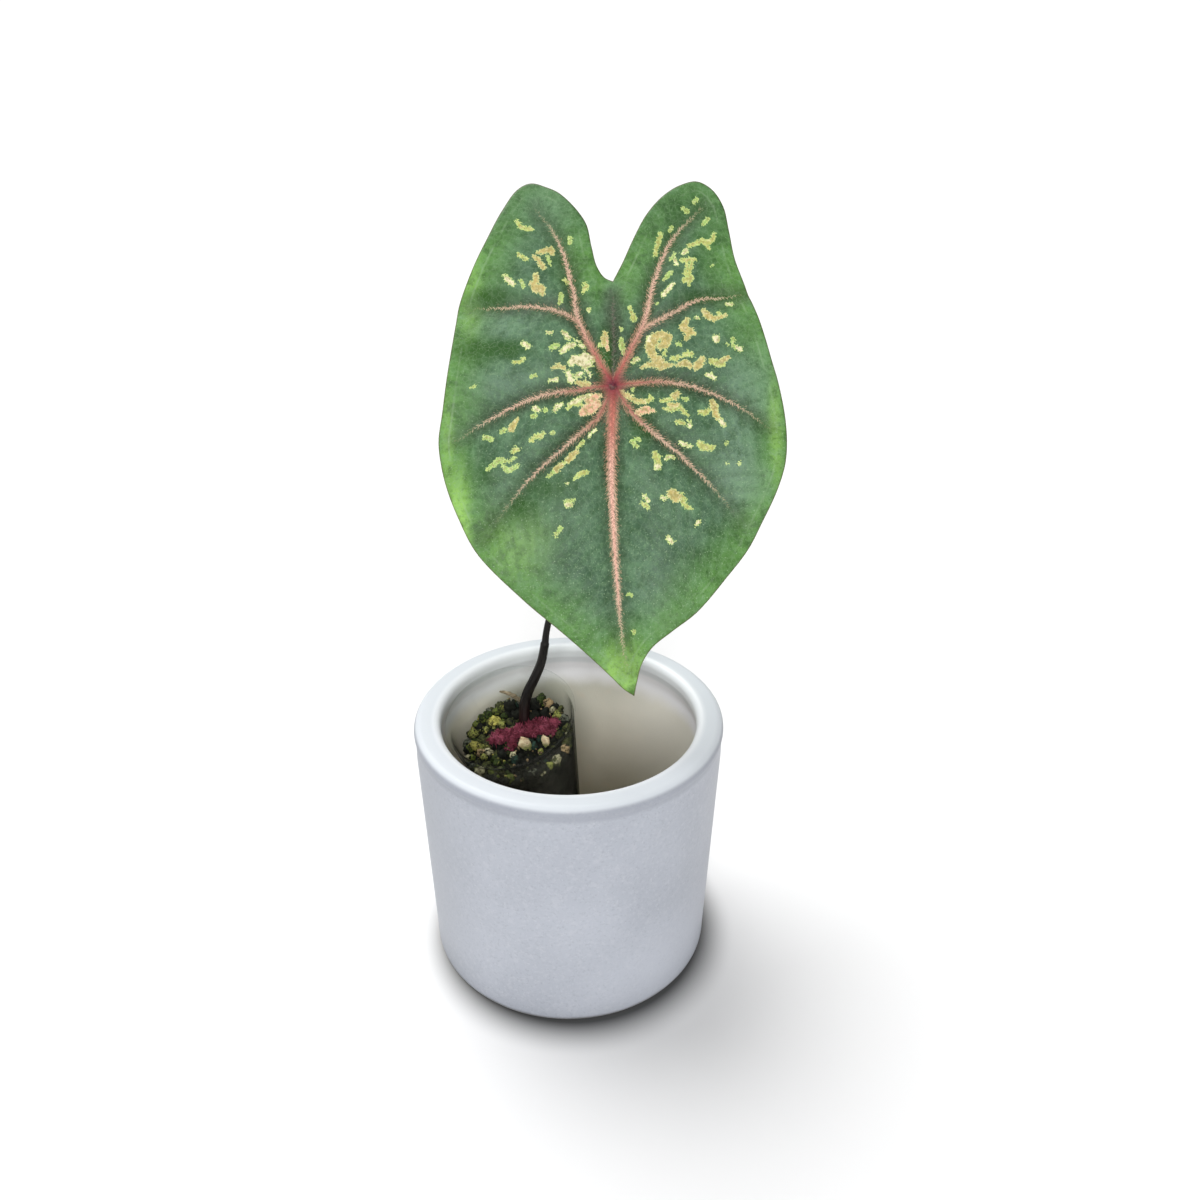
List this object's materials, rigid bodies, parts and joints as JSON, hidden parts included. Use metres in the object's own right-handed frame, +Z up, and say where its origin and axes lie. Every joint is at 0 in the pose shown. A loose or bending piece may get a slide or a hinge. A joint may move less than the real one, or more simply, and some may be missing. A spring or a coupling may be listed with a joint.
{
  "type": "potted caladium",
  "caption": "Heart-shaped patterned caladium leaf on a dark petiole, growing in a clear nursery cup that leans inside a white ceramic cover pot.",
  "frame": {"origin": "centre of the pot's flat underside", "axes": "+Z up along the pot's axis; -Y towards the viewer, the side that the leaf faces; +X to the viewer's right"},
  "size_m": [0.1599, 0.1408, 0.3416],
  "materials": {
    "white_ceramic": "satin glaze",
    "clear_plastic": "clear gloss",
    "dark_mix": "rough, moist",
    "granules": "rough",
    "dyed_moss": "rough, fibrous",
    "cream_chip": "matt",
    "bark": "matt",
    "tuber_skin": "rough",
    "dark_petiole": "satin",
    "leaf": "soft satin"
  },
  "bodies": {
    "root": {"pot": "white_ceramic", "nursery_cup": "clear_plastic", "potting_mix": "dark_mix", "granule_topping": "granules", "maroon_moss": "dyed_moss", "cream_chip_1": "cream_chip", "cream_chip_2": "cream_chip", "bark_strip": "bark", "tuber": "tuber_skin", "petiole": "dark_petiole", "leaf_blade": "leaf"}
  },
  "joints": []
}
